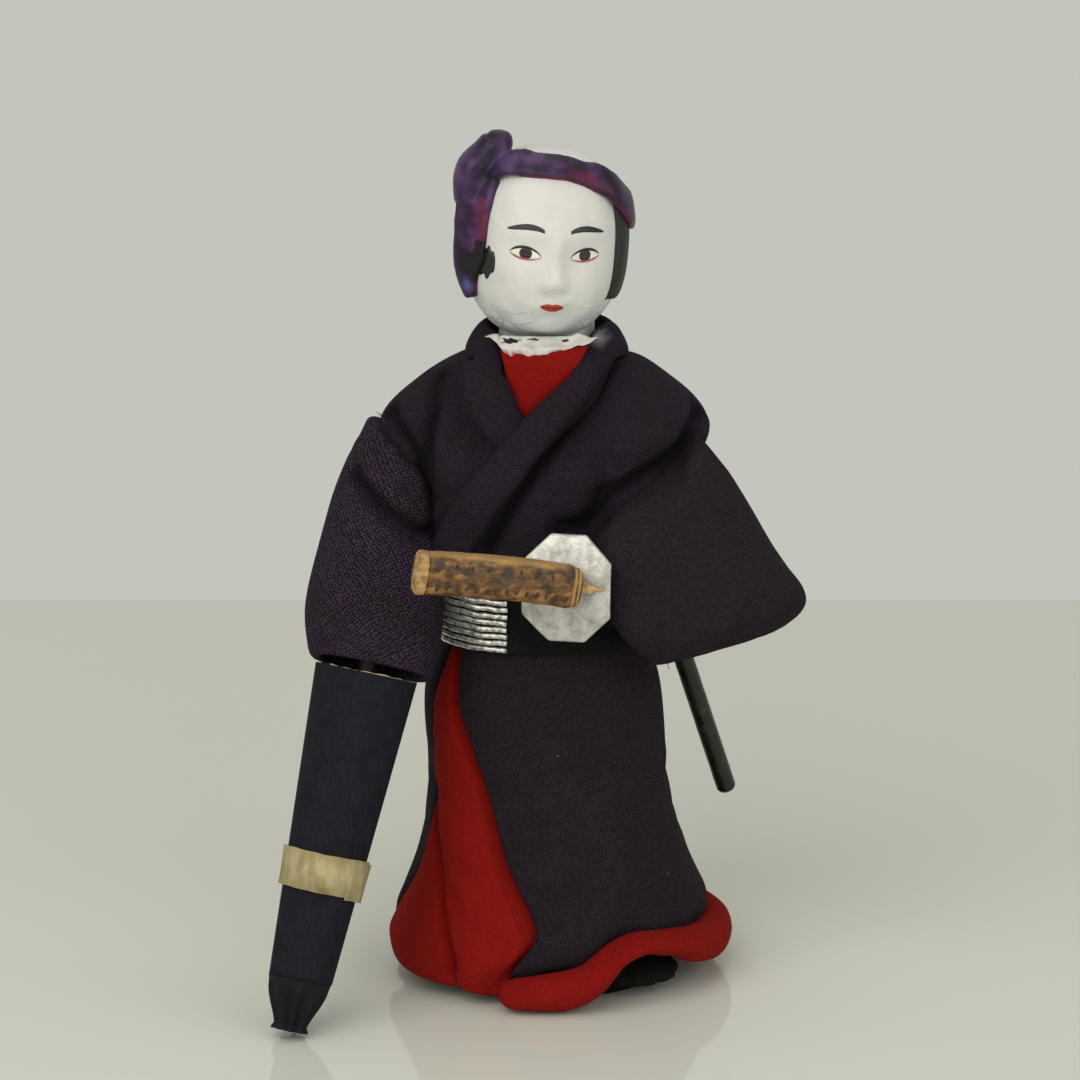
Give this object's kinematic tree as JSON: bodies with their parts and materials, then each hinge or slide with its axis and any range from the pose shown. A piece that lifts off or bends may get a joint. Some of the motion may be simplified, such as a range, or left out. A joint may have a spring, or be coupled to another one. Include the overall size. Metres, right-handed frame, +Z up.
{
  "type": "kimono doll with sword and folded umbrella",
  "caption": "Small standing doll in a padded crepe robe with a turning head, a sleeve holding a rolled paper umbrella, a sword hilt and guard at the chest and a scabbard under the sash.",
  "frame": {"origin": "centre of the underside of the oval base plate, on the surface the doll stands on", "axes": "+Z up along the body, -Y the way the doll faces, +X towards the doll's own left hand"},
  "size_m": [0.0531, 0.0412, 0.087],
  "materials": {
    "purple_crepe": "dark aubergine crepe, matt",
    "red_crepe": "deep red crepe, matt",
    "black_crepe": "black cloth, matt",
    "cotton_wadding": "loose cotton filling",
    "plain_wood": "bare softwood",
    "white_head": "wood paste under shell-white chalk, satin, finely cracked",
    "black_hair": "black floss, pasted flat",
    "painted_band": "stiff painted cloth, worn",
    "umbrella_paper": "navy-black paper, matt",
    "cream_paper": "aged cream paper, matt",
    "black_paper_tip": "black glazed paper, crimped",
    "silver_foil": "crumpled silver foil on card",
    "hilt_wood": "brown stained wood with dark dashes",
    "black_lacquer": "satin black lacquer"
  },
  "bodies": {
    "figure": {"base_block": "black_crepe", "body_core": "plain_wood", "skirt_wadding": "cotton_wadding", "under_robe_side_fold": "red_crepe", "under_robe_front_fold": "red_crepe", "hem_roll": "red_crepe", "outer_skirt": "purple_crepe", "chest_wadding": "cotton_wadding", "bodice": "purple_crepe", "chest_panel": "red_crepe", "collar_band": "purple_crepe", "sash": "black_crepe", "sash_foil_cords": "silver_foil", "sash_knot": "black_crepe", "right_sleeve": "purple_crepe", "right_sleeve_wadding": "cotton_wadding", "left_sleeve": "purple_crepe", "left_sleeve_wadding": "cotton_wadding"},
    "head": {"head": "white_head", "neck_peg": "white_head", "hair": "black_hair", "headband": "painted_band", "headband_knot": "painted_band", "headband_tail": "painted_band"},
    "umbrella": {"umbrella_stick": "plain_wood", "umbrella_core_roll": "umbrella_paper", "umbrella_paper": "umbrella_paper", "umbrella_band": "cream_paper", "umbrella_foot": "black_paper_tip"},
    "sword": {"sword_hilt": "hilt_wood", "hilt_cap": "hilt_wood", "hilt_pin": "cream_paper", "sword_guard": "silver_foil", "sword_stem": "plain_wood"},
    "scabbard": {"scabbard": "black_lacquer"}
  },
  "joints": [
    {"name": "head_turn", "type": "hinge", "parent": "figure", "child": "head", "pos_m": [-0.0003, 0, 0.0634], "axis": [0, 0, 1], "range_deg": [-30, 30]},
    {"name": "umbrella_turn", "type": "hinge", "parent": "figure", "child": "umbrella", "pos_m": [-0.0256, -0.0226, 0.0008], "axis": [0.209, 0.2934, 0.9329], "continuous": true},
    {"name": "sword_draw", "type": "slide", "parent": "figure", "child": "sword", "axis": [-0.2009, -0.9744, 0.1005], "range_m": [0, 0.008]},
    {"name": "scabbard_draw", "type": "slide", "parent": "figure", "child": "scabbard", "axis": [0.2735, 0.3256, -0.9051], "range_m": [0, 0.005]}
  ]
}
